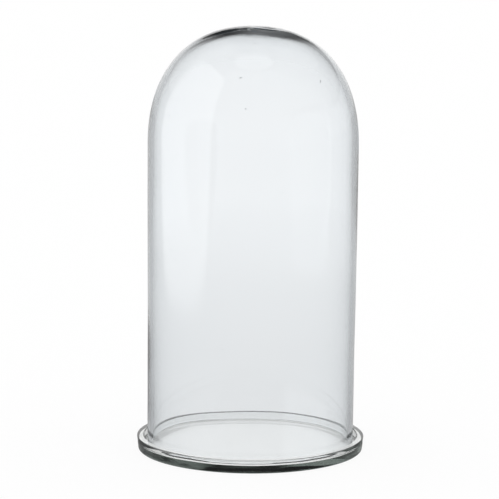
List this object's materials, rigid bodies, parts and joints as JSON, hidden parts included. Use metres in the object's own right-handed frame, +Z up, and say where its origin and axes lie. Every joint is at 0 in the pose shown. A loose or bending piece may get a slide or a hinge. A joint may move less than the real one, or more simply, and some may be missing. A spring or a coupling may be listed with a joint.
{
  "type": "glass cloche",
  "caption": "Clear glass bell with a thick rounded crown, standing loose in a shallow round glass dish with a raised rim.",
  "frame": {"origin": "centre of the dish's flat underside, on the surface that the cloche stands on", "axes": "+Z up along the common turning axis of bell and dish; +X to the right and -Y towards the viewer in the picture, which shows no other mark of direction"},
  "size_m": [0.14, 0.14, 0.26],
  "materials": {
    "dish_glass": "clear pressed glass, fire-polished, faintly green at its edge",
    "dome_glass": "clear blown glass, smooth, with a few small seeds"
  },
  "bodies": {
    "dish": {"base_dish": "dish_glass"},
    "dome": {"glass_dome": "dome_glass"}
  },
  "joints": [
    {"name": "dome_lift", "type": "slide", "parent": "dish", "child": "dome", "axis": [0, 0, 1], "range_m": [0, 0.25]}
  ]
}
